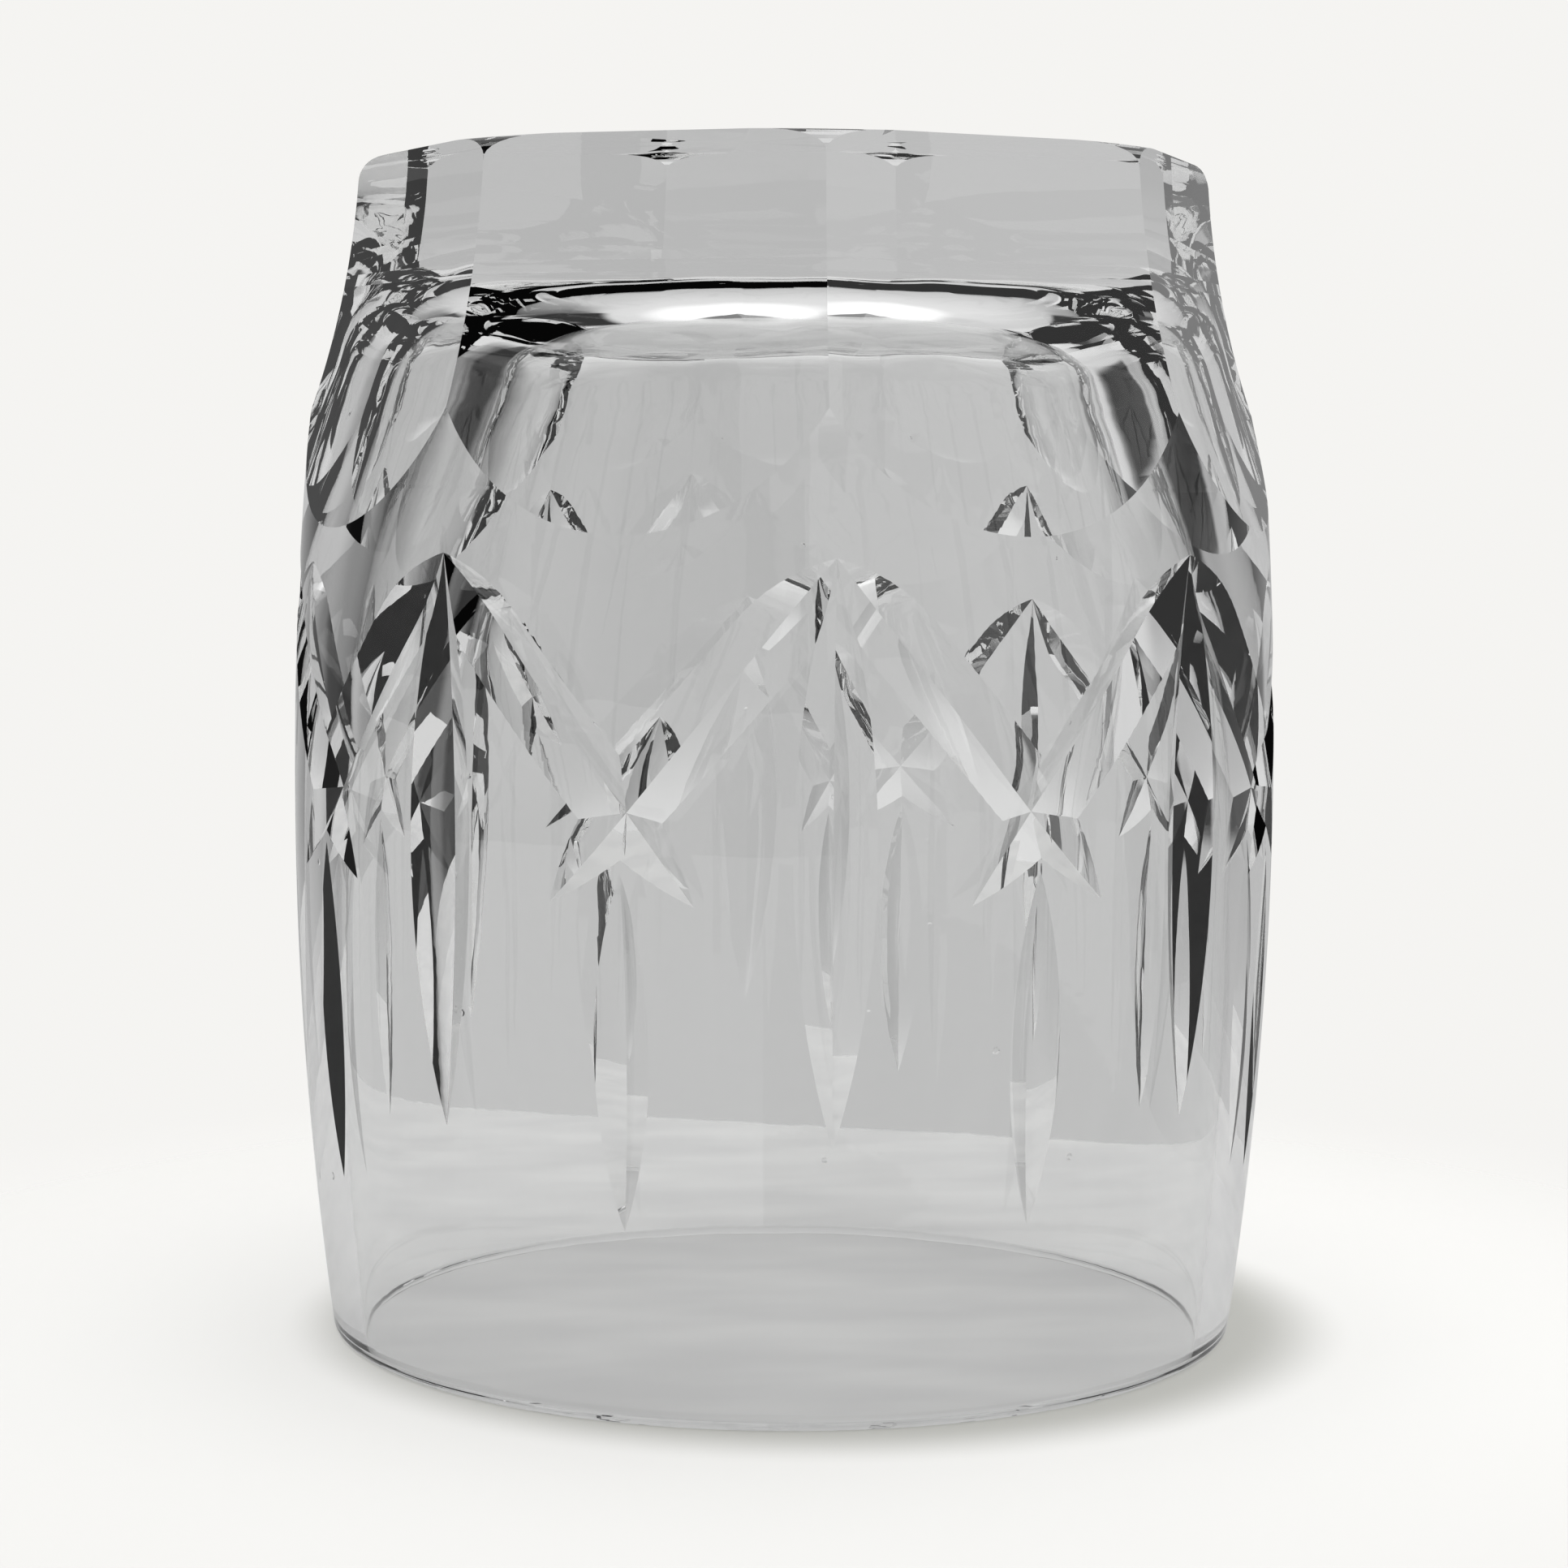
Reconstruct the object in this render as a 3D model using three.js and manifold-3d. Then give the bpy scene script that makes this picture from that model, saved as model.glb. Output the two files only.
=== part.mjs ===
// A cut-crystal whiskey tumbler (double old-fashioned size), one solid piece of glass.
//
// It is modelled standing on its rim, base up, the way a clean glass is put away:
// the mouth opens downwards, the origin is the centre of the rim's plane, +Z points up
// to the base, and one peak of the cut pattern lies on -Y. Sizes are millimetres.
//
// A turned blank is hollowed first. Then the cutter's wheels go round it in eight equal
// steps: flat flutes around the base, a tall V cut down from each peak, pairs of diagonal
// V cuts that wind down from the peaks and cross, and a slimmer V cut below each crossing.

import * as THREE from 'three';
import Module from 'manifold-3d';
import { mergeVertices } from 'three/addons/utils/BufferGeometryUtils.js';

// Overall sizes
const HEIGHT = 101.9;
const WIDEST_RADIUS = 43;
const WIDEST_Z = 47.3;

// Rim: how far it lies inside the widest radius, its wall and its rounding
const RIM_INSET = 3.2;
const RIM_WALL = 2.8;
const RIM_ROUND = 0.7;

// Cavity
const SIDE_WALL = 3.7;
const CAVITY_WIDEST_Z = 42;
const CAVITY_WALL_CURVE = 125;
const CAVITY_CORNER_ROUND = 10;
const BASE_THICKNESS = 12;

// Pattern
const REPEATS = 8;

// Flutes around the base: the flat at the base lies this far inside the widest radius,
// and the ring of flutes is turned a touch against the V cuts, as on a hand-cut glass
const FLUTE_INSET = 8.7;
const FLUTE_LENGTH = 31.4;
const FLUTE_WHEEL_RADIUS = 82;
const FLUTE_TURN = THREE.MathUtils.degToRad(-0.8);
const HEEL_ROUND = 2;
const HEEL_TAPER_LENGTH = 8;

// V cuts: the tall and slim ones end at a height above the rim
const V_ANGLE = THREE.MathUtils.degToRad(124);
const PEAK_BELOW_FLUTE = 1.6;
const TALL_CUT_END_Z = 23;
const TALL_CUT_FLOOR_SAG = 1.12;
const SLIM_CUT_BELOW_CROSSING = 4.5;
const SLIM_CUT_END_Z = 16;
const SLIM_CUT_FLOOR_SAG = 0.98;

// Diagonal V cuts: an even depth, with a run in at the peak and a run out past the crossing
const CROSSING_BELOW_PEAK = 19.9;
const ARM_PAST_CROSSING = 9.2;
const ARM_DEPTH = 1.65;
const ARM_RUN_IN = 8.5;
const ARM_RUN_OUT = 12.8;

// Fineness of the faceted solid
const TURN_SEGMENTS = 64;
const ARC_STEP = THREE.MathUtils.degToRad(22.5);
const WALL_STEP = 14;
const FLUTE_STEP = 5;
const CUT_STEPS = 8;
const ARM_STEPS = 12;

// Room that a cutting tool keeps past the glass it removes, and past a cut's two ends
const TOOL_CLEARANCE = 4;
const ARM_OVERRUN = 0.6;

const wasm = await Module();
wasm.setup();

const STEP_ANGLE = (2 * Math.PI) / REPEATS;
const HALF_STEP = STEP_ANGLE / 2;

// ---------------------------------------------------------------- solids and booleans

function toSolid(geometry) {
  geometry.deleteAttribute('normal');
  geometry.deleteAttribute('uv');
  const welded = mergeVertices(geometry, 1e-4);
  return new wasm.Manifold(new wasm.Mesh({
    numProp: 3,
    vertProperties: new Float32Array(welded.attributes.position.array),
    triVerts: new Uint32Array(welded.index.array),
  }));
}

function toGeometry(solid) {
  const mesh = solid.getMesh();
  const geometry = new THREE.BufferGeometry();
  geometry.setAttribute('position', new THREE.BufferAttribute(mesh.vertProperties, 3));
  geometry.setIndex(new THREE.BufferAttribute(mesh.triVerts, 1));
  geometry.computeVertexNormals();
  return geometry;
}

// LatheGeometry turns about Y; this stands its axis up along Z.
function turned(profile) {
  const geometry = new THREE.LatheGeometry(profile, TURN_SEGMENTS);
  geometry.rotateX(Math.PI / 2);
  return toSolid(geometry);
}

// ---------------------------------------------------------------- outlines of the turned shapes

// Points of a circular arc from one angle to another, both ends included.
function arcPoints(centre, radius, from, to, count) {
  const points = [];
  for (let i = 0; i <= count; i += 1) {
    const angle = from + ((to - from) * i) / count;
    points.push(new THREE.Vector2(
      centre.x + radius * Math.cos(angle),
      centre.y + radius * Math.sin(angle),
    ));
  }
  return points;
}

function arcCount(radius, sweep) {
  return Math.ceil(Math.max(Math.abs(sweep) / ARC_STEP, (radius * Math.abs(sweep)) / WALL_STEP));
}

// The barrel side is one arc, widest at WIDEST_Z and drawn in by RIM_INSET at the rim.
const BARREL_CURVE = (WIDEST_Z ** 2 + RIM_INSET ** 2) / (2 * RIM_INSET);

function barrelRadius(z) {
  return WIDEST_RADIUS - BARREL_CURVE + Math.sqrt(BARREL_CURVE ** 2 - (z - WIDEST_Z) ** 2);
}

// The flute wheel's edge passes through the flat at the base and the barrel at the flute's foot.
const FLUTE_FOOT_Z = HEIGHT - FLUTE_LENGTH;
const FLUTE_WHEEL = wheelThrough(
  new THREE.Vector2(barrelRadius(FLUTE_FOOT_Z), FLUTE_FOOT_Z),
  new THREE.Vector2(WIDEST_RADIUS - FLUTE_INSET, HEIGHT),
  FLUTE_WHEEL_RADIUS,
);

function wheelThrough(low, high, radius) {
  const chord = high.clone().sub(low);
  const outward = new THREE.Vector2(chord.y, -chord.x).normalize();
  const reach = Math.sqrt(radius ** 2 - chord.lengthSq() / 4);
  return low.clone().add(high).multiplyScalar(0.5).addScaledVector(outward, reach);
}

function ridgeRadius(z) {
  const apothem = FLUTE_WHEEL.x - Math.sqrt(FLUTE_WHEEL_RADIUS ** 2 - (z - FLUTE_WHEEL.y) ** 2);
  return apothem / Math.cos(HALF_STEP);
}

function blankProfile() {
  const heelRadius = Math.min(ridgeRadius(HEIGHT - HEEL_ROUND), barrelRadius(HEIGHT));
  const sideTop = HEIGHT - HEEL_TAPER_LENGTH;
  const barrelCentre = new THREE.Vector2(WIDEST_RADIUS - BARREL_CURVE, WIDEST_Z);
  const from = Math.asin((RIM_ROUND - WIDEST_Z) / BARREL_CURVE);
  const to = Math.asin((sideTop - WIDEST_Z) / BARREL_CURVE);
  const rimCentre = new THREE.Vector2(barrelRadius(RIM_ROUND) - RIM_ROUND, RIM_ROUND);
  const heelCentre = new THREE.Vector2(heelRadius - HEEL_ROUND, HEIGHT - HEEL_ROUND);
  const quarter = Math.PI / 2;
  return [
    new THREE.Vector2(0, 0),
    ...arcPoints(rimCentre, RIM_ROUND, -quarter, 0, arcCount(RIM_ROUND, quarter)).slice(0, -1),
    ...arcPoints(barrelCentre, BARREL_CURVE, from, to, arcCount(BARREL_CURVE, to - from)),
    ...arcPoints(heelCentre, HEEL_ROUND, 0, quarter, arcCount(HEEL_ROUND, quarter)),
    new THREE.Vector2(0, HEIGHT),
  ];
}

function cavityProfile() {
  const floorZ = HEIGHT - BASE_THICKNESS;
  const quarter = Math.PI / 2;

  // Below the widest place of the cavity an arc runs out to the rim.
  const widest = WIDEST_RADIUS - SIDE_WALL;
  const mouthBulge = widest - (WIDEST_RADIUS - RIM_INSET - RIM_WALL);
  const mouthCurve = (CAVITY_WIDEST_Z ** 2 + mouthBulge ** 2) / (2 * mouthBulge);
  const mouthCentre = new THREE.Vector2(widest - mouthCurve, CAVITY_WIDEST_Z);
  const mouthFrom = Math.asin((RIM_ROUND - CAVITY_WIDEST_Z) / mouthCurve);
  const lipX = mouthCentre.x + mouthCurve * Math.cos(mouthFrom);
  const lipCentre = new THREE.Vector2(lipX + RIM_ROUND, RIM_ROUND);

  // Above it a tighter arc leans in and rolls over into the flat floor.
  const wallCentre = new THREE.Vector2(widest - CAVITY_WALL_CURVE, CAVITY_WIDEST_Z);
  const rise = floorZ - CAVITY_CORNER_ROUND - CAVITY_WIDEST_Z;
  const between = CAVITY_WALL_CURVE - CAVITY_CORNER_ROUND;
  const lean = Math.asin(rise / between);
  const cornerCentre = new THREE.Vector2(
    wallCentre.x + between * Math.cos(lean),
    floorZ - CAVITY_CORNER_ROUND,
  );
  const cornerCount = arcCount(CAVITY_CORNER_ROUND, quarter - lean);
  return [
    new THREE.Vector2(0, -TOOL_CLEARANCE),
    new THREE.Vector2(lipX + RIM_ROUND, -TOOL_CLEARANCE),
    ...arcPoints(lipCentre, RIM_ROUND, -quarter, -2 * quarter, arcCount(RIM_ROUND, quarter)).slice(0, -1),
    ...arcPoints(mouthCentre, mouthCurve, mouthFrom, 0, arcCount(mouthCurve, mouthFrom)).slice(0, -1),
    ...arcPoints(wallCentre, CAVITY_WALL_CURVE, 0, lean, arcCount(CAVITY_WALL_CURVE, lean)).slice(0, -1),
    ...arcPoints(cornerCentre, CAVITY_CORNER_ROUND, lean, quarter, cornerCount),
    new THREE.Vector2(0, floorZ),
  ];
}

// ---------------------------------------------------------------- cutting wheels

// A flat-edged wheel lying across the base, its axle level and square to the flute.
function fluteWheel(azimuth) {
  const width = 2 * (WIDEST_RADIUS + TOOL_CLEARANCE);
  const segments = Math.round((2 * Math.PI * FLUTE_WHEEL_RADIUS) / FLUTE_STEP);
  const wheel = new THREE.CylinderGeometry(FLUTE_WHEEL_RADIUS, FLUTE_WHEEL_RADIUS, width, segments);
  wheel.applyMatrix4(frameAt(
    new THREE.Vector3(FLUTE_WHEEL.x * Math.sin(azimuth), -FLUTE_WHEEL.x * Math.cos(azimuth), FLUTE_WHEEL.y),
    new THREE.Vector3(Math.sin(azimuth), -Math.cos(azimuth), 0),
    new THREE.Vector3(0, 0, 1),
  ));
  return toSolid(wheel);
}

// A frame whose X points outward, Z along the cut and Y across it.
function frameAt(origin, outward, along) {
  const across = new THREE.Vector3().crossVectors(along, outward).normalize();
  const square = new THREE.Vector3().crossVectors(across, along).normalize();
  return new THREE.Matrix4()
    .makeBasis(square, across, along.clone().normalize())
    .setPosition(origin);
}

function onBarrel(azimuth, z) {
  const radius = barrelRadius(z);
  return new THREE.Vector3(radius * Math.sin(azimuth), -radius * Math.cos(azimuth), z);
}

// The V-edged wheel's section, its point at the origin and opening along X.
const V_HALF_WIDTH = TOOL_CLEARANCE * Math.tan(V_ANGLE / 2);

// A V-edged wheel's path between two points on the glass, where the cut starts and ends.
// Its floor dips in by floorSag halfway.
function vCut(start, end, floorSag) {
  const along = end.clone().sub(start);
  const half = along.length() / 2;
  const middle = start.clone().add(end).multiplyScalar(0.5);
  const outward = new THREE.Vector3(middle.x, middle.y, 0).normalize();
  const reach = half + TOOL_CLEARANCE;
  const endLift = floorSag * ((reach / half) ** 2 - 1);
  const floor = new THREE.QuadraticBezierCurve3(
    new THREE.Vector3(endLift, 0, -reach),
    new THREE.Vector3(-2 * floorSag - endLift, 0, 0),
    new THREE.Vector3(endLift, 0, reach),
  );
  const section = new THREE.Shape([
    new THREE.Vector2(0, 0),
    new THREE.Vector2(V_HALF_WIDTH, TOOL_CLEARANCE),
    new THREE.Vector2(-V_HALF_WIDTH, TOOL_CLEARANCE),
  ]);
  const options = { steps: CUT_STEPS, extrudePath: floor, bevelEnabled: false };
  const cutter = new THREE.ExtrudeGeometry(section, options);
  cutter.applyMatrix4(frameAt(middle, outward, along));
  return toSolid(cutter);
}

// Triangle sections joined one to the next along a cut, closed at both ends.
function joinSections(frames) {
  const corners = [
    new THREE.Vector3(0, 0, 0),
    new THREE.Vector3(TOOL_CLEARANCE, -V_HALF_WIDTH, 0),
    new THREE.Vector3(TOOL_CLEARANCE, V_HALF_WIDTH, 0),
  ];
  const positions = frames.flatMap((frame) => corners.flatMap(
    (corner) => corner.clone().applyMatrix4(frame).toArray(),
  ));
  const last = 3 * (frames.length - 1);
  const faces = [0, 2, 1, last, last + 1, last + 2];
  for (let i = 0; i < last; i += 3) {
    for (let side = 0; side < 3; side += 1) {
      const next = (side + 1) % 3;
      faces.push(i + side, i + next, i + 3 + next, i + side, i + 3 + next, i + 3 + side);
    }
  }
  const geometry = new THREE.BufferGeometry();
  geometry.setAttribute('position', new THREE.Float32BufferAttribute(positions, 3));
  geometry.setIndex(faces);
  return toSolid(geometry);
}

const PEAK_Z = FLUTE_FOOT_Z - PEAK_BELOW_FLUTE;
const CROSSING_Z = PEAK_Z - CROSSING_BELOW_PEAK;

function tallCut(azimuth) {
  return vCut(onBarrel(azimuth, PEAK_Z), onBarrel(azimuth, TALL_CUT_END_Z), TALL_CUT_FLOOR_SAG);
}

// Unrolled, a diagonal cut is a straight line from a peak through the crossing.
const ARM_TURN = HALF_STEP * WIDEST_RADIUS;
const ARM_LENGTH = Math.hypot(ARM_TURN, CROSSING_BELOW_PEAK) + ARM_PAST_CROSSING;
const ARM_LEAN = Math.atan2(ARM_TURN, CROSSING_BELOW_PEAK);

function armDepth(along) {
  const runIn = 1 - (1 - Math.min(1, along / ARM_RUN_IN)) ** 2;
  const runOut = 1 - (1 - Math.min(1, (ARM_LENGTH - along) / ARM_RUN_OUT)) ** 2;
  return ARM_DEPTH * Math.min(runIn, runOut);
}

function diagonalCut(azimuth, side) {
  const frames = [];
  for (let i = 0; i <= ARM_STEPS; i += 1) {
    const along = -ARM_OVERRUN + ((ARM_LENGTH + 2 * ARM_OVERRUN) * i) / ARM_STEPS;
    const z = PEAK_Z - along * Math.cos(ARM_LEAN);
    const turn = azimuth + (side * along * Math.sin(ARM_LEAN)) / WIDEST_RADIUS;
    const outward = new THREE.Vector3(Math.sin(turn), -Math.cos(turn), 0);
    const across = new THREE.Vector3(Math.cos(turn), Math.sin(turn), 0);
    const floor = outward.clone().multiplyScalar(barrelRadius(z) - armDepth(along)).setZ(z);
    const down = across.multiplyScalar(side * Math.sin(ARM_LEAN)).setZ(-Math.cos(ARM_LEAN));
    frames.push(frameAt(floor, outward, down));
  }
  return joinSections(frames);
}

function slimCut(azimuth) {
  const start = onBarrel(azimuth, CROSSING_Z - SLIM_CUT_BELOW_CROSSING);
  return vCut(start, onBarrel(azimuth, SLIM_CUT_END_Z), SLIM_CUT_FLOOR_SAG);
}

// ---------------------------------------------------------------- the tumbler

function cutTumbler() {
  let glass = turned(blankProfile()).subtract(turned(cavityProfile()));
  for (let i = 0; i < REPEATS; i += 1) {
    const ridge = i * STEP_ANGLE;
    const between = ridge + HALF_STEP;
    const cutters = [
      fluteWheel(between + FLUTE_TURN),
      tallCut(ridge),
      diagonalCut(ridge, 1),
      diagonalCut(ridge, -1),
      slimCut(between),
    ];
    for (const cutter of cutters) {
      glass = glass.subtract(cutter);
    }
  }
  return toGeometry(glass);
}

const crystal = new THREE.MeshStandardMaterial({
  color: 0xdfe3e4,
  roughness: 0.03,
  metalness: 0,
  transparent: true,
  opacity: 0.45,
});

const object = new THREE.Group();
const tumbler = new THREE.Mesh(cutTumbler(), crystal);
tumbler.name = 'tumbler';
object.add(tumbler);

export default object;
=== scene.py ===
# %% [markdown]
# # A cut-crystal tumbler, standing on its rim
#
# The tumbler is one piece of heavy glass. A blower makes a thick blank, and a cutter then
# holds it against turning wheels: a flat wheel for the broad flutes around the base, and a
# V-edged wheel for the sharp cuts. This file follows the same order. It turns a blank,
# turns the hollow, makes one of each wheel, copies the wheels around the glass and cuts.

# %% Load the measured frame
import bpy
from math import asin, atan2, ceil, cos, degrees, pi, radians, sin, sqrt, tan
from mathutils import Matrix, Vector


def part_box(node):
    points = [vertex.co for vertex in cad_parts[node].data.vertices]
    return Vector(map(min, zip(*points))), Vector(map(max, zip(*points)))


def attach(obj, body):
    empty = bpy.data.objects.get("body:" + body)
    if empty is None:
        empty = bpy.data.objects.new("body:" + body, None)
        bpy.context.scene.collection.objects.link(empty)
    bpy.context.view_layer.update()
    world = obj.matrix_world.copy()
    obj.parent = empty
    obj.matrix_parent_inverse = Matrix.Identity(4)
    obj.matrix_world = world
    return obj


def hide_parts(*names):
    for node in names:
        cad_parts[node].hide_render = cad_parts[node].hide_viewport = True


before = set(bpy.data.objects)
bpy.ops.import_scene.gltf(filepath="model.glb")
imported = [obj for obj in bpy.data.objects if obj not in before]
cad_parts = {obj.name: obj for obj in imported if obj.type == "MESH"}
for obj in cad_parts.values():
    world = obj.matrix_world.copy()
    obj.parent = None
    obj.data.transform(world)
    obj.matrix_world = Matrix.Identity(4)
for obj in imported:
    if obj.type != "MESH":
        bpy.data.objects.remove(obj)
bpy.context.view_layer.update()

MM = 0.001
low, high = (Vector(corner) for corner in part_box("tumbler"))
height = high.z - low.z
print("tumbler height", round(height / MM, 2), "mm")

# %% [markdown]
# ## Working by hand, in a script
#
# Blender's tools act on what is selected and active, so a script has to say both before
# each step. These two helpers do that, and keep one step from touching the last one's work.

# %% Two small helpers for every step that follows
def deselect_all():
    """Nothing stays selected, so an operator acts only on what is made next."""
    bpy.ops.object.select_all(action="DESELECT")


def active(obj):
    """Select one object alone and make it the active one."""
    deselect_all()
    obj.select_set(True)
    bpy.context.view_layer.objects.active = obj
    return obj


# %% [markdown]
# ## Drawing an outline
#
# A turned shape starts as half of its outline, drawn in the plane of X and Z. A plane
# merged to its middle leaves one vertex. Extruding it draws a straight stretch, and
# spinning it about a centre draws an arc.

# %% Outline tools
turn_steps = 384
weld_distance = 0.001 * MM


def first_point(x, z):
    """Start an outline with a single vertex, and stay in edit mode."""
    deselect_all()
    bpy.ops.mesh.primitive_plane_add(size=MM, location=(x, 0, z))
    bpy.ops.object.mode_set(mode="EDIT")
    bpy.ops.mesh.select_all(action="SELECT")
    bpy.ops.mesh.merge(type="CENTER")
    return Vector((x, 0, z))


def line_to(here, x, z):
    """Extrude the last vertex in a straight line."""
    there = Vector((x, 0, z))
    bpy.ops.mesh.extrude_region_move(TRANSFORM_OT_translate={"value": there - here})
    return there


def arc_to(here, centre_x, centre_z, x, z, steps):
    """Spin the last vertex about a centre until it reaches a point."""
    centre = Vector((centre_x, 0, centre_z))
    there = Vector((x, 0, z))
    a, b = here - centre, there - centre
    turn = a.normalized().cross(b.normalized())
    angle = asin(max(-1, min(1, turn.y)))
    bpy.ops.mesh.spin(steps=steps, angle=-angle, center=centre, axis=(0, 1, 0))
    return there


def turn_outline(name):
    """Spin the outline once round Z, close its poles and turn its faces outward."""
    bpy.ops.mesh.select_all(action="SELECT")
    bpy.ops.mesh.spin(steps=turn_steps, angle=2 * pi, center=(0, 0, 0), axis=(0, 0, 1))
    bpy.ops.mesh.select_all(action="SELECT")
    bpy.ops.mesh.remove_doubles(threshold=weld_distance)
    bpy.ops.mesh.normals_make_consistent(inside=False)
    bpy.ops.object.mode_set(mode="OBJECT")
    piece = bpy.context.object
    piece.name = name
    bpy.ops.object.transform_apply(location=True, rotation=True, scale=True)
    print(name, len(piece.data.polygons), "faces")
    return piece


print("outlines are turned in", turn_steps, "steps")

# %% [markdown]
# ## The blank
#
# The blank is the outside of the glass before it is cut. Its side swells like a barrel and
# could be modelled as a stretched cylinder, but one long arc through the rim and the widest
# place is truer to a blown form, and a few sizes fix it. The heel, where side meets base,
# is turned in a little and rounded, so the ridges that the flutes leave end in small soft
# corners.

# %% The barrel
widest_radius, widest_z = 43 * MM, 47.3 * MM
rim_radius, rim_wall, rim_round = 39.8 * MM, 2.8 * MM, 0.7 * MM
barrel_bulge = widest_radius - rim_radius
barrel_curve = (widest_z ** 2 + barrel_bulge ** 2) / (2 * barrel_bulge)


def barrel_radius(z):
    """Radius of the barrel side at a height."""
    return widest_radius - barrel_curve + sqrt(barrel_curve ** 2 - (z - widest_z) ** 2)


print("the side is an arc of radius", round(barrel_curve / MM, 1), "mm")

# %% Where the flutes run
repeats = 8
step_angle = 2 * pi / repeats
half_step = step_angle / 2
base_across_flats, flute_length, flute_wheel_radius = 68.6 * MM, 31.4 * MM, 82 * MM


def flute_wheel_centre():
    """The wheel passes through the flat at the base and the barrel at the flute's foot."""
    foot_z = height - flute_length
    foot = Vector((barrel_radius(foot_z), foot_z))
    top = Vector((base_across_flats / 2, height))
    chord = top - foot
    outward = Vector((chord.y, -chord.x)).normalized()
    return (foot + top) / 2 + outward * sqrt(flute_wheel_radius ** 2 - chord.length_squared / 4)


wheel_x, wheel_z = flute_wheel_centre()


def ridge_radius(z):
    """Radius of the ridge between two flutes at a height."""
    flat = wheel_x - sqrt(flute_wheel_radius ** 2 - (z - wheel_z) ** 2)
    return flat / cos(half_step)


print("the flutes' wheel is centred", round(wheel_x / MM, 1), "mm from the axis")

# %% Turn the blank
heel_round, heel_taper = 2 * MM, 8 * MM
round_steps, side_steps = 8, 24


def turn_blank():
    curve_x = widest_radius - barrel_curve
    lip = barrel_radius(rim_round)
    side_top = height - heel_taper
    heel = ridge_radius(height - heel_round)
    p = first_point(0, 0)
    p = line_to(p, lip - rim_round, 0)
    p = arc_to(p, lip - rim_round, rim_round, lip, rim_round, round_steps)
    p = arc_to(p, curve_x, widest_z, widest_radius, widest_z, side_steps)
    p = arc_to(p, curve_x, widest_z, barrel_radius(side_top), side_top, side_steps)
    p = line_to(p, heel, height - heel_round)
    heel_x, heel_z = heel - heel_round, height - heel_round
    p = arc_to(p, heel_x, heel_z, heel_x, height, round_steps)
    line_to(p, 0, height)
    return turn_outline("cut_tumbler")


tumbler = turn_blank()

# %% [markdown]
# ## The hollow
#
# The inside of the bowl could be a second skin made with a Solidify modifier, but its wall
# isn't an even one: it is thin at the rim and thick at the base. So it is turned as a solid
# of its own, to be taken out of the blank. Its wall follows the barrel near the rim and
# leans in towards the base, where a generous curve rolls over into the flat floor. That
# curve is the lens that makes the bright band below the solid base.

# %% Turn the hollow
cavity_radius, cavity_widest_z = 39.3 * MM, 42 * MM
cavity_wall_curve, cavity_corner = 125 * MM, 10 * MM
base_thickness = 12 * MM
tool_room = 4 * MM
mouth_steps, corner_steps = 20, 32


def turn_hollow():
    floor_z = height - base_thickness
    mouth_radius = rim_radius - rim_wall
    mouth_bulge = cavity_radius - mouth_radius
    mouth_curve = (cavity_widest_z ** 2 + mouth_bulge ** 2) / (2 * mouth_bulge)
    mouth_x = cavity_radius - mouth_curve
    lip = mouth_x + sqrt(mouth_curve ** 2 - (rim_round - cavity_widest_z) ** 2)
    wall_x = cavity_radius - cavity_wall_curve
    rise = floor_z - cavity_corner - cavity_widest_z
    reach = cavity_wall_curve - cavity_corner
    lean = asin(rise / reach)
    corner_x = wall_x + reach * cos(lean)
    corner_z = floor_z - cavity_corner
    wall_top_x = corner_x + cavity_corner * cos(lean)
    wall_top_z = corner_z + cavity_corner * sin(lean)
    p = first_point(0, -tool_room)
    p = line_to(p, lip + rim_round, -tool_room)
    p = line_to(p, lip + rim_round, 0)
    p = arc_to(p, lip + rim_round, rim_round, lip, rim_round, round_steps)
    p = arc_to(p, mouth_x, cavity_widest_z, cavity_radius, cavity_widest_z, mouth_steps)
    p = arc_to(p, wall_x, cavity_widest_z, wall_top_x, wall_top_z, side_steps)
    p = arc_to(p, corner_x, corner_z, corner_x, floor_z, corner_steps)
    line_to(p, 0, floor_z)
    return turn_outline("hollow")


hollow = turn_hollow()

# %% [markdown]
# ## The wheels
#
# Each wheel is made once in a plain position, X pointing out of the glass, Z along the cut
# and Y across it, and then placed. The flat wheel is a short drum. The V-edged wheel is far
# larger than the glass, so only the stretch of its edge that touches is made: a triangle,
# spun a few degrees about the wheel's axle.

# %% Placing a wheel
def place(wheel, origin, along):
    """Stand a wheel at a point of the glass, its Z along the cut and its X outward."""
    outward = Vector((origin.x, origin.y, 0)).normalized()
    along = along.normalized()
    across = along.cross(outward).normalized()
    outward = across.cross(along)
    turn = Matrix((outward, across, along)).transposed()
    wheel.matrix_world = Matrix.Translation(origin) @ turn.to_4x4()
    active(wheel)
    bpy.ops.object.transform_apply(location=True, rotation=True, scale=True)
    return wheel


def on_barrel(azimuth, z):
    """A point on the side, with azimuth 0 at the front, on -Y."""
    radius = barrel_radius(z)
    return Vector((radius * sin(azimuth), -radius * cos(azimuth), z))


print("a point halfway up the front lies at", on_barrel(0, height / 2).to_tuple(4))

# %% The flat wheel for the flutes
wheel_sides = 720


def flute_wheel(azimuth):
    """A drum beside the glass, standing in its place at an azimuth."""
    deselect_all()
    bpy.ops.mesh.primitive_cylinder_add(
        vertices=wheel_sides, radius=flute_wheel_radius, depth=2 * widest_radius,
        rotation=(pi / 2, 0, 0))
    wheel = bpy.context.object
    bpy.ops.object.transform_apply(location=True, rotation=True, scale=True)
    origin = Vector((wheel_x * sin(azimuth), -wheel_x * cos(azimuth), wheel_z))
    return place(wheel, origin, Vector((0, 0, 1)))


print("the flat wheel is", round(2 * flute_wheel_radius / MM), "mm across")

# %% The edge of the V wheel
v_angle = radians(124)


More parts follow.
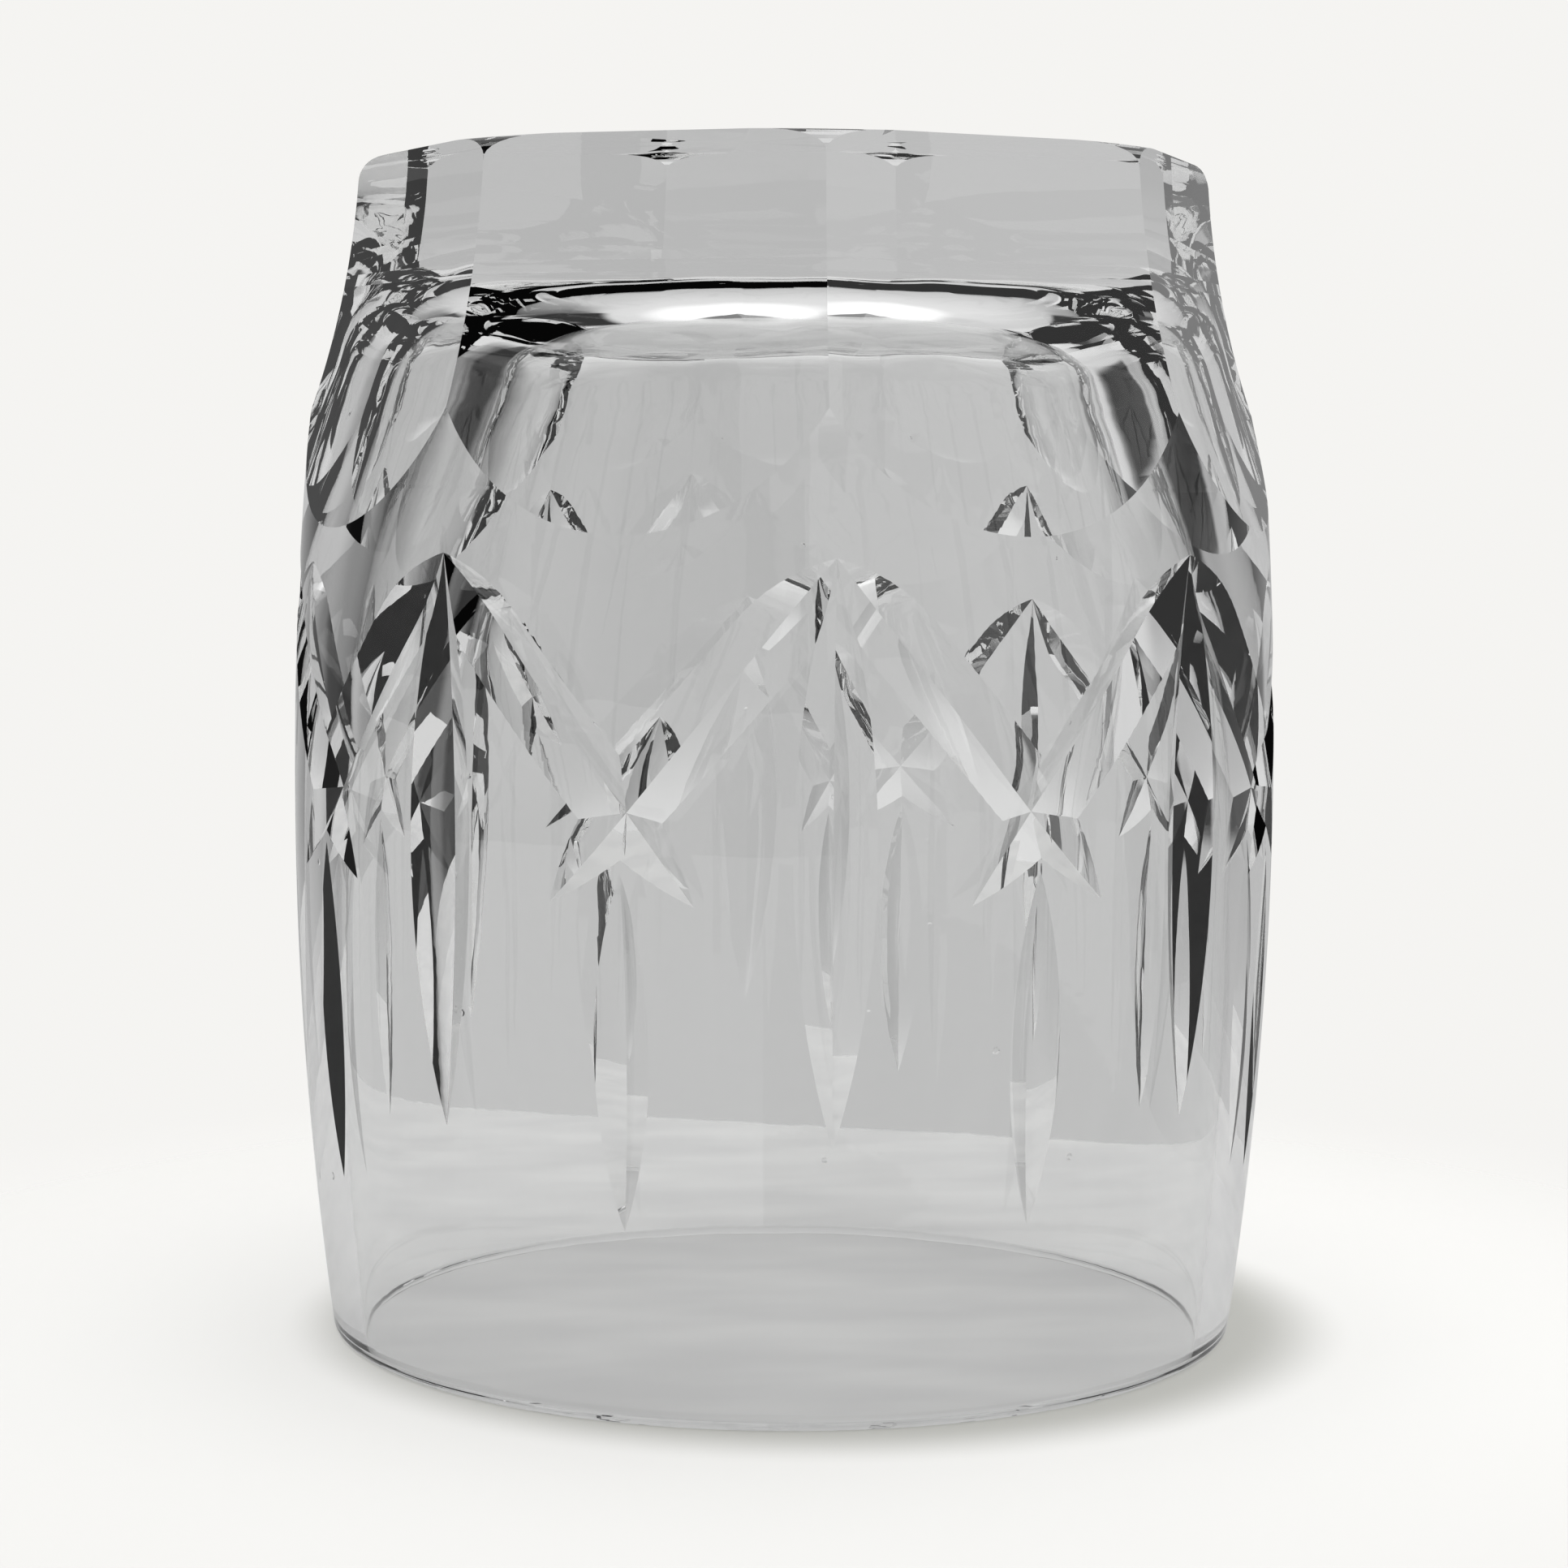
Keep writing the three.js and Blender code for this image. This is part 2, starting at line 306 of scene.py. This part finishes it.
def v_edge(point_x, lean=0):
    """A triangle, the shape of the wheel's edge, with its point at point_x on the X axis
    and opening outward. It leans about X by an angle, and is left in edit mode."""
    deselect_all()
    bpy.ops.mesh.primitive_circle_add(vertices=3, radius=1, fill_type="NGON",
                                      rotation=(0, 0, pi / 2))
    bpy.ops.object.transform_apply(location=True, rotation=True, scale=True)
    edge = bpy.context.object
    deep = tool_room / (max(v.co.x for v in edge.data.vertices) + 1)
    wide = tool_room * tan(v_angle / 2) / max(v.co.y for v in edge.data.vertices)
    edge.scale = (deep, wide, 1)
    edge.rotation_euler.x = lean
    edge.location.x = point_x + deep
    bpy.ops.object.transform_apply(location=True, rotation=True, scale=True)
    bpy.ops.object.mode_set(mode="EDIT")
    bpy.ops.mesh.select_all(action="SELECT")
    return edge


def close_up(cutter):
    """Turn a finished cutter's faces outward and leave edit mode."""
    bpy.ops.mesh.select_all(action="SELECT")
    bpy.ops.mesh.normals_make_consistent(inside=False)
    bpy.ops.object.mode_set(mode="OBJECT")
    return cutter


print("the V wheel's edge opens to", round(degrees(v_angle)), "degrees")

# %% A straight V cut
spin_step = 1.2 * MM


def v_wheel(start, end, sag):
    """A V cut between two points on the glass, its floor dipping in by sag halfway."""
    half = (end - start).length / 2
    radius = (half ** 2 + sag ** 2) / (2 * sag)
    sweep = 2 * asin((half + tool_room) / radius)
    axle = (radius - sag, 0, 0)
    wheel = v_edge(-sag)
    bpy.ops.transform.rotate(value=sweep / 2, orient_axis="Y", center_override=axle)
    steps = ceil(2 * (half + tool_room) / spin_step)
    bpy.ops.mesh.spin(steps=steps, angle=-sweep, center=axle, axis=(0, 1, 0))
    print("a V wheel of radius", round(radius / MM), "mm in", steps, "steps")
    return close_up(wheel)


# %% [markdown]
# ## Cutting
#
# Each wheel is copied around the axis, and the copies are taken out of the glass together
# by a Boolean modifier that is applied. The edges could be pushed in by hand, vertex by
# vertex, but only a real cut gives facets that meet in clean lines. Wheels that would
# overlap each other, as the broad flat ones do, go round in two passes. The flutes stand a
# touch round from the V cuts, as hand cutting leaves them.

# %% Copy a cutter round the axis, and take it out of the glass
def ring(cutter, count):
    """Spin copies of a cutter round Z, so that count of them stand evenly about it."""
    active(cutter)
    bpy.ops.object.mode_set(mode="EDIT")
    bpy.ops.mesh.select_all(action="SELECT")
    bpy.ops.mesh.spin(dupli=True, steps=count - 1, angle=2 * pi * (count - 1) / count,
                      center=(0, 0, 0), axis=(0, 0, 1))
    bpy.ops.object.mode_set(mode="OBJECT")
    return cutter


def take_out(cutter):
    """Remove a cutter from the tumbler, and the cutter itself from the scene."""
    active(tumbler)
    bpy.ops.object.modifier_add(type="BOOLEAN")
    modifier = tumbler.modifiers[-1]
    modifier.operation = "DIFFERENCE"
    modifier.solver = "MANIFOLD"
    modifier.object = cutter
    bpy.ops.object.modifier_apply(modifier=modifier.name)
    active(cutter)
    bpy.ops.object.delete()
    print("the glass now has", len(tumbler.data.polygons), "faces")


# %% Take out the hollow and grind the flutes
flute_turn = radians(-0.8)
take_out(hollow)
for first in (flute_turn + half_step, flute_turn + half_step + step_angle):
    take_out(ring(flute_wheel(first), repeats // 2))

# %% [markdown]
# ## The diagonal cuts
#
# The cutter rolls the glass against the wheel for these, so the cut keeps its depth as it
# winds down the side, and runs in and out gently at its two ends. The triangle of the
# wheel's edge is extruded in small steps, turned about the glass and slid down it. A
# straight wheel was no use here: it digs in deepest halfway, where the side bulges most.

# %% How the diagonals run
peak_below_flute = 1.6 * MM
peak_z = height - flute_length - peak_below_flute
crossing_drop = 19.9 * MM
crossing_z = peak_z - crossing_drop
arm_past_crossing, arm_depth = 9.2 * MM, 1.65 * MM
arm_run_in, arm_run_out = 8.5 * MM, 12.8 * MM
arm_turn = half_step * widest_radius
arm_length = sqrt(arm_turn ** 2 + crossing_drop ** 2) + arm_past_crossing
arm_lean = atan2(arm_turn, crossing_drop)
arm_steps = 32


def arm_floor(along):
    """Depth of the cut at a distance along it: a gentle run in, a level stretch, a run out."""
    run_in = 1 - (1 - min(1, along / arm_run_in)) ** 2
    run_out = 1 - (1 - min(1, (arm_length - along) / arm_run_out)) ** 2
    return arm_depth * min(run_in, run_out)


print("each diagonal is", round(arm_length / MM, 1), "mm long")

# %% A cut that winds down the side
run_over = 0.6 * MM


def winding_cut(side):
    """One diagonal cut from a peak, winding to one side of it."""
    def station(i):
        along = -run_over + (arm_length + 2 * run_over) * i / arm_steps
        z = peak_z - along * cos(arm_lean)
        turn = side * along * sin(arm_lean) / widest_radius
        return barrel_radius(z) - arm_floor(along), turn, z

    radius, turn, z = station(0)
    cutter = v_edge(radius, side * arm_lean)
    bpy.ops.transform.translate(value=(0, 0, z))
    bpy.ops.transform.rotate(value=-turn, orient_axis="Z", center_override=(0, 0, 0))
    for i in range(1, arm_steps + 1):
        last_radius, last_turn, last_z = radius, turn, z
        radius, turn, z = station(i)
        out = radius - last_radius
        slide = Vector((out * cos(last_turn), out * sin(last_turn), z - last_z))
        bpy.ops.mesh.extrude_region_move(TRANSFORM_OT_translate={"value": slide})
        bpy.ops.transform.rotate(value=last_turn - turn, orient_axis="Z",
                                 center_override=(0, 0, 0))
    return close_up(cutter)


# %% [markdown]
# ## The V pattern
#
# Four cuts make up the pattern: a tall one straight down from each peak, a slim one below
# each crossing, and the two diagonals. The straight ones are chords of the side, so one
# spin of the V wheel makes each. All of them repeat eight times round the glass.

# %% Cut the V pattern
tall_length, tall_sag = 45.9 * MM, 1.12 * MM
slim_start_drop, slim_length, slim_sag = 4.5 * MM, 28.5 * MM, 0.98 * MM


def cut_pattern():
    peak = on_barrel(0, peak_z)
    slim_start = on_barrel(half_step, crossing_z - slim_start_drop)
    slim_end = on_barrel(half_step, crossing_z - slim_start_drop - slim_length)
    tall_end = on_barrel(0, peak_z - tall_length)
    for start, end, sag in ((peak, tall_end, tall_sag), (slim_start, slim_end, slim_sag)):
        wheel = v_wheel(start, end, sag)
        take_out(ring(place(wheel, (start + end) / 2, end - start), repeats))
    for side in (1, -1):
        take_out(ring(winding_cut(side), repeats))


cut_pattern()

# %% [markdown]
# ## Smooth glass, sharp cuts
#
# The turned surfaces are smooth and the cuts have crisp edges. Shading smooth by angle
# keeps both: faces that meet at more than a few degrees stay sharp. A bevel on each edge
# would soften the cuts, and fresh cut crystal has none.

# %% Shade and settle the piece
active(tumbler)
sharp_angle = radians(7)
bpy.ops.object.shade_smooth_by_angle(angle=sharp_angle, keep_sharp_edges=False)
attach(tumbler, "root")
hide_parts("tumbler")
print("the finished glass is", [round(size / MM, 1) for size in tumbler.dimensions], "mm")

# %% [markdown]
# ## Nodes that more than one material needs
#
# The crystal and the floor are both drawn by small node trees, with no image in them. A few
# node set-ups come up again and again: a place in object coordinates, one axis of it, a
# noise, a ramp between two values, and a product. Each is a short function here, so that
# the trees further down read as sentences.

# %% Places and axes
def object_place(nodes, scale=(1, 1, 1), turn=0):
    """Object coordinates, stretched by a scale and turned about Z."""
    mapping = nodes.new("ShaderNodeMapping")
    mapping.inputs["Scale"].default_value = scale
    mapping.inputs["Rotation"].default_value = (0, 0, turn)
    place = nodes.new("ShaderNodeTexCoord").outputs["Object"]
    nodes.id_data.links.new(place, mapping.inputs["Vector"])
    return mapping.outputs["Vector"]


def axis_of(nodes, place, axis):
    """One of the X, Y and Z of a place."""
    split = nodes.new("ShaderNodeSeparateXYZ")
    nodes.id_data.links.new(place, split.inputs[0])
    return split.outputs[axis]


# %% Noises, ramps and products
def noise(nodes, place, scale, detail):
    """A soft noise, with its scale in features to the metre."""
    texture = nodes.new("ShaderNodeTexNoise")
    texture.inputs["Scale"].default_value = scale
    texture.inputs["Detail"].default_value = detail
    nodes.id_data.links.new(place, texture.inputs["Vector"])
    return texture.outputs["Fac"]


def ramp(nodes, value, start, end, shape="LINEAR"):
    """0 at the start, 1 at the end, and no less or more outside them."""
    node = nodes.new("ShaderNodeMapRange")
    node.interpolation_type = shape
    nodes.id_data.links.new(value, node.inputs["Value"])
    node.inputs["From Min"].default_value = start
    node.inputs["From Max"].default_value = end
    return node.outputs["Result"]


def product(nodes, a, b):
    """Two values multiplied."""
    node = nodes.new("ShaderNodeMath")
    node.operation = "MULTIPLY"
    nodes.id_data.links.new(a, node.inputs[0])
    nodes.id_data.links.new(b, node.inputs[1])
    return node.outputs[0]


# %% Colours between two values, and a surface that gives way to clear
def colour_ramp(nodes, value, start, end, shape="LINEAR"):
    """Two stops, each a position and a colour."""
    node = nodes.new("ShaderNodeValToRGB")
    node.color_ramp.interpolation = shape
    for stop, (position, colour) in zip(node.color_ramp.elements, (start, end)):
        stop.position = position
        stop.color = (*colour, 1)
    nodes.id_data.links.new(value, node.inputs["Fac"])
    return node.outputs["Color"]


def let_through(nodes, share):
    """Swap the material's own surface for plain clear, by a share from 0 to 1."""
    links = nodes.id_data.links
    clear = nodes.new("ShaderNodeBsdfTransparent")
    mix = nodes.new("ShaderNodeMixShader")
    links.new(share, mix.inputs["Fac"])
    links.new(nodes["Principled BSDF"].outputs["BSDF"], mix.inputs[1])
    links.new(clear.outputs["BSDF"], mix.inputs[2])
    links.new(mix.outputs["Shader"], nodes["Material Output"].inputs["Surface"])


# %% [markdown]
# ## How uneven crystal is
#
# Perfect surfaces look like plastic, because every reflection is too clean. Crystal is
# ground, then polished, and keeps a slow waviness and a finer one. The rolled end of the
# hollow was never ground at all, so it holds long ripples that run round the glass. A used
# glass also has some nicks. Modelling any of this would cost a great many faces, and a
# height map in a Bump node does it without one.

# %% Ripples in the end of the hollow
hollow_floor_z = height - base_thickness
ripple_start, ripple_full = hollow_floor_z - 16 * MM, hollow_floor_z - 8 * MM
ripple_last, ripple_stop = hollow_floor_z + 1 * MM, hollow_floor_z + 2 * MM


def ripples(nodes):
    """Long ripples that fade in up the wall and end just past the floor of the hollow."""
    squeezed = object_place(nodes, scale=(0.35, 0.35, 1))
    z = axis_of(nodes, object_place(nodes), "Z")
    here = product(nodes, ramp(nodes, z, ripple_start, ripple_full),
                   ramp(nodes, z, ripple_stop, ripple_last))
    return product(nodes, noise(nodes, squeezed, 230, 1.5), here)


print("ripples start", round(ripple_start / MM, 1), "mm above the rim")

# %% Nicks
cells_per_metre = 150
nick_edge, nick_bottom = 0.05, 0.03


def nicks(nodes):
    """Pits at the middle of about one Voronoi cell in five, where it meets the surface."""
    cells = nodes.new("ShaderNodeTexVoronoi")
    cells.inputs["Scale"].default_value = cells_per_metre
    nodes.id_data.links.new(object_place(nodes), cells.inputs["Vector"])
    lot = nodes.new("ShaderNodeSeparateColor")
    nodes.id_data.links.new(cells.outputs["Color"], lot.inputs[0])
    middle = ramp(nodes, cells.outputs["Distance"], nick_edge, nick_bottom)
    return product(nodes, middle, ramp(nodes, lot.outputs["Red"], 0.78, 0.80))


print("nicks are up to", round(2 * nick_edge / cells_per_metre / MM, 2), "mm across")

# %% [markdown]
# ## Crystal
#
# Lead crystal is clear, almost without colour, and bends light strongly. A Glass shader
# would do, but a smooth Principled one with full transmission also exports well, so that is
# what it is, with an index of 1.545. Crystal casts only a faint shadow, and Blender's
# shadows don't follow light through glass, so a Light Path node lets shadow rays pass.

# %% The crystal
def crystal_material():
    material = bpy.data.materials.new("crystal")
    material.use_nodes = True
    nodes, links = material.node_tree.nodes, material.node_tree.links
    shader = nodes["Principled BSDF"]
    shader.inputs["Base Color"].default_value = (0.975, 0.977, 0.975, 1)
    shader.inputs["Roughness"].default_value = 0.0
    shader.inputs["IOR"].default_value = 1.545
    shader.inputs["Transmission Weight"].default_value = 1.0
    place = object_place(nodes)
    heights = (
        (noise(nodes, place, 45, 1.0), 0.05 * MM),
        (noise(nodes, place, 260, 2.0), 0.004 * MM),
        (ripples(nodes), 0.16 * MM),
        (nicks(nodes), -0.05 * MM),
    )
    normal = None
    for height_map, lift in heights:
        bump = nodes.new("ShaderNodeBump")
        bump.inputs["Distance"].default_value = lift
        bump.inputs["Strength"].default_value = 1.0
        links.new(height_map, bump.inputs["Height"])
        if normal:
            links.new(normal, bump.inputs["Normal"])
        normal = bump.outputs["Normal"]
    links.new(normal, shader.inputs["Normal"])
    let_through(nodes, nodes.new("ShaderNodeLightPath").outputs["Is Shadow Ray"])
    return material


tumbler.data.materials.clear()
tumbler.data.materials.append(crystal_material())
print("the tumbler is made of", tumbler.data.materials[0].name)

# %% [markdown]
# ## The table
#
# Clear glass shows its surroundings more than itself, so the table matters as much as the
# shader. A plain pale plane is enough to stand on. What is seen through the glass is
# duller than the table beside it: it has faint streaks of painted light, standing in for the
# caustics that the glass throws on it, and it ends in a straight far edge, set a little
# askew. Seen directly, the table runs out into the background all round without a horizon,
# and a painted shadow darkens it softly where the rim touches it.

# %% The table seen through the glass
table_edge_turn = radians(18.4)
table_edge_y = 100 * MM


def table_tone_and_painted_caustics(nodes):
    # The streaks are painted light: a noise that brightens and dulls the table's colour in
    # place of the caustics that the glass throws on it.
    painted_caustics = noise(nodes, object_place(nodes, scale=(0.6, 1.6, 1)), 60, 2.0)
    return colour_ramp(nodes, painted_caustics, (0.35, (0.59, 0.59, 0.59)), (0.65, (0.66, 0.66, 0.655)))


def past_table_edge(nodes):
    y = axis_of(nodes, object_place(nodes, turn=table_edge_turn), "Y")
    return ramp(nodes, y, table_edge_y, table_edge_y + 2 * MM, "SMOOTHSTEP")


print("the table's far edge is", round(table_edge_y / MM), "mm behind the axis")

# %% The table seen directly
contact_centre = (3.0 * MM, -1.2 * MM, 0)


def from_contact(nodes):
    """Distance from the middle of the contact shadow."""
    reach = nodes.new("ShaderNodeVectorMath")
    reach.operation = "DISTANCE"
    nodes.id_data.links.new(object_place(nodes), reach.inputs[0])
    reach.inputs[1].default_value = contact_centre
    return reach.outputs["Value"]


def contact_shadow(nodes):
    spread = ramp(nodes, from_contact(nodes), 38 * MM, 48 * MM)
    dark, pale = (0.55, 0.55, 0.52), (0.93, 0.925, 0.905)
    return colour_ramp(nodes, spread, (0, dark), (1, pale), "EASE")


def run_out(nodes):
    return ramp(nodes, from_contact(nodes), 52 * MM, 120 * MM, "SMOOTHSTEP")


print("the contact shadow leans", round(contact_centre[0] / MM, 1), "mm to the right")

# %% Lay the table
def pick(nodes, kind, through_glass, direct):
    """One thing for what is seen through the glass, another for what is seen directly."""
    links = nodes.id_data.links
    node = nodes.new("ShaderNodeMix")
    node.data_type = kind
    path = nodes.new("ShaderNodeLightPath")
    links.new(path.outputs["Is Camera Ray"], node.inputs["Factor"])
    links.new(through_glass, node.inputs["A"])
    links.new(direct, node.inputs["B"])
    return node.outputs["Result"]


def stage_floor():
    deselect_all()
    bpy.ops.mesh.primitive_plane_add(size=6)
    floor = bpy.context.object
    floor.name = "studio_floor"
    material = bpy.data.materials.new("studio_floor")
    material.use_nodes = True
    nodes = material.node_tree.nodes
    shader = nodes["Principled BSDF"]
    shader.inputs["Roughness"].default_value = 1.0
    shader.inputs["Specular IOR Level"].default_value = 0.0
    tone = pick(nodes, "RGBA", table_tone_and_painted_caustics(nodes), contact_shadow(nodes))
    material.node_tree.links.new(tone, shader.inputs["Base Color"])
    let_through(nodes, pick(nodes, "FLOAT", past_table_edge(nodes), run_out(nodes)))
    floor.data.materials.append(material)
    print("the floor is", round(floor.dimensions.x), "m wide")


stage_floor()

# %% [markdown]
# ## The room
#
# Each facet of the glass bends the view a different way and shows a small patch of the
# room, so a plain grey world gives plain grey glass. A panorama of a real room could light
# it, but then the darks and lights fall where they happen to. Here the room is drawn
# instead: a grey wall, with soft cards laid over it one after another, each a patch of
# azimuth and elevation. Azimuth runs from +Y, behind the glass,
# towards +X. The left is dark, in steps, and one black card stands on the right. The
# background that is seen directly is a plain pale tone.

# %% The cards
wall = 0.54
# left, right, bottom, top and softness in degrees, then brightness
cards = {
    "ceiling": (-200, 200, 42, 100, 32, 0.84),
    "lamps overhead": (-200, 200, 68, 100, 6, 1.2),
    "ceiling behind, left": (-200, -118, 76, 100, 4, 0.25),
    "ceiling behind, right": (140, 200, 76, 100, 4, 0.4),
    "below the table": (-200, 200, -100, -14, 3, 0.74),
    "below the table, right": (14, 200, -100, -15, 6, 0.80),
    "half dark on the left": (-200, -28, -8, 46, 9, 0.33),
    "darker": (-200, -42, -8, 48, 6, 0.18),
    "darkest": (-200, -51, -7, 54, 3, 0.04),
    "thin light stripe in the dark": (-82, -74, -8, 40, 3, 0.22),
    "wide light stripe in the dark": (-125, -98, 4, 60, 5, 0.36),
    "grey on the right": (40, 84, -8, 28, 5, 0.44),
    "black on the right": (51, 82, 3, 28, 2, 0.02),
    "window on the right": (82, 150, -12, 66, 6, 0.68),
}
print(len(cards), "cards on a wall of brightness", wall)

# %% Directions in the world
def angle_of(nodes, operation, *values):
    """An angle from one or two parts of a direction."""
    node = nodes.new("ShaderNodeMath")
    node.operation = operation
    for socket, value in zip(node.inputs, values):
        nodes.id_data.links.new(value, socket)
    return node.outputs[0]


def band(nodes, angle, start, end, soft):
    """1 between two angles and 0 outside them, with soft edges, all in degrees."""
    node = nodes.new("ShaderNodeMath")
    node.operation = "SUBTRACT"
    for socket, edge in zip(node.inputs, (start, end)):
        rise = ramp(nodes, angle, radians(edge - soft), radians(edge + soft), "SMOOTHSTEP")
        nodes.id_data.links.new(rise, socket)
    return node.outputs[0]


# %% Hang the cards
def studio_world():
    world = bpy.data.worlds.new("studio")
    bpy.context.scene.world = world
    world.use_nodes = True
    nodes, links = world.node_tree.nodes, world.node_tree.links
    direction = nodes.new("ShaderNodeTexCoord").outputs["Generated"]
    x, y, z = (axis_of(nodes, direction, axis) for axis in "XYZ")
    azimuth = angle_of(nodes, "ARCTAN2", x, y)
    elevation = angle_of(nodes, "ARCSINE", z)
    level = nodes.new("ShaderNodeValue").outputs[0]
    level.default_value = wall
    for left, right, bottom, top, soft, bright in cards.values():
        across = band(nodes, azimuth, left, right, soft)
        up = band(nodes, elevation, bottom, top, soft)
        mix = nodes.new("ShaderNodeMix")
        links.new(product(nodes, across, up), mix.inputs["Factor"])
        links.new(level, mix.inputs["A"])
        mix.inputs["B"].default_value = bright
        level = mix.outputs["Result"]
    background = nodes.new("ShaderNodeRGB").outputs[0]
    background.default_value = (0.913, 0.905, 0.885, 1)
    seen = pick(nodes, "RGBA", level, background)
    links.new(seen, nodes["Background"].inputs["Color"])
    print("the world has", len(nodes), "nodes")


studio_world()

# %% [markdown]
# ## The key light
#
# The room alone is soft, so one more light comes from above, in front and to the left. An
# area lamp would do this too, but it shows up inside the glass as a white square. A very
# wide sun has no edge to see, and it is also hidden from reflections and from rays that
# pass through the glass, so it lights only the table.

# %% Key light
def key_light():
    deselect_all()
    bpy.ops.object.light_add(type="SUN", location=(0, 0, 1),
                             rotation=(radians(35), 0, radians(-50)))
    light = bpy.context.object
    light.name = light.data.name = "key_light"
    light.data.angle = radians(50)
    light.data.energy = 1.85
    light.visible_transmission = False
    light.visible_glossy = False
    print("the key light has an energy of", round(light.data.energy, 2))


key_light()

# %% [markdown]
# ## The camera
#
# The view is a close one, from a little above the middle of the glass and slightly to the
# left of its front. A camera this near, about three glass heights away, widens the rim at
# the bottom and shows a thin ellipse of table inside it. The camera is placed by its
# distance, its height and three small angles.

# %% Camera
def set_camera():
    data = bpy.data.cameras.new("view_camera")
    data.lens = 81.26
    data.sensor_width = 36
    camera = bpy.data.objects.new("view_camera", data)
    bpy.context.scene.collection.objects.link(camera)
    distance, eye_height, side = 312.7 * MM, 76.9 * MM, radians(-5.36)
    pitch, roll = 0.09335, 0.00602
    camera.location = (distance * sin(side), -distance * cos(side), eye_height)
    camera.rotation_mode = "XYZ"
    turn = Matrix.Rotation(side, 4, "Z") @ Matrix.Rotation(pi / 2 - pitch, 4, "X")
    camera.rotation_euler = (turn @ Matrix.Rotation(roll, 4, "Z")).to_euler()
    bpy.context.scene.camera = camera
    print("the camera is", round(camera.location.length / MM), "mm from the rim's centre")


set_camera()
bpy.context.scene.view_settings.view_transform = "Standard"
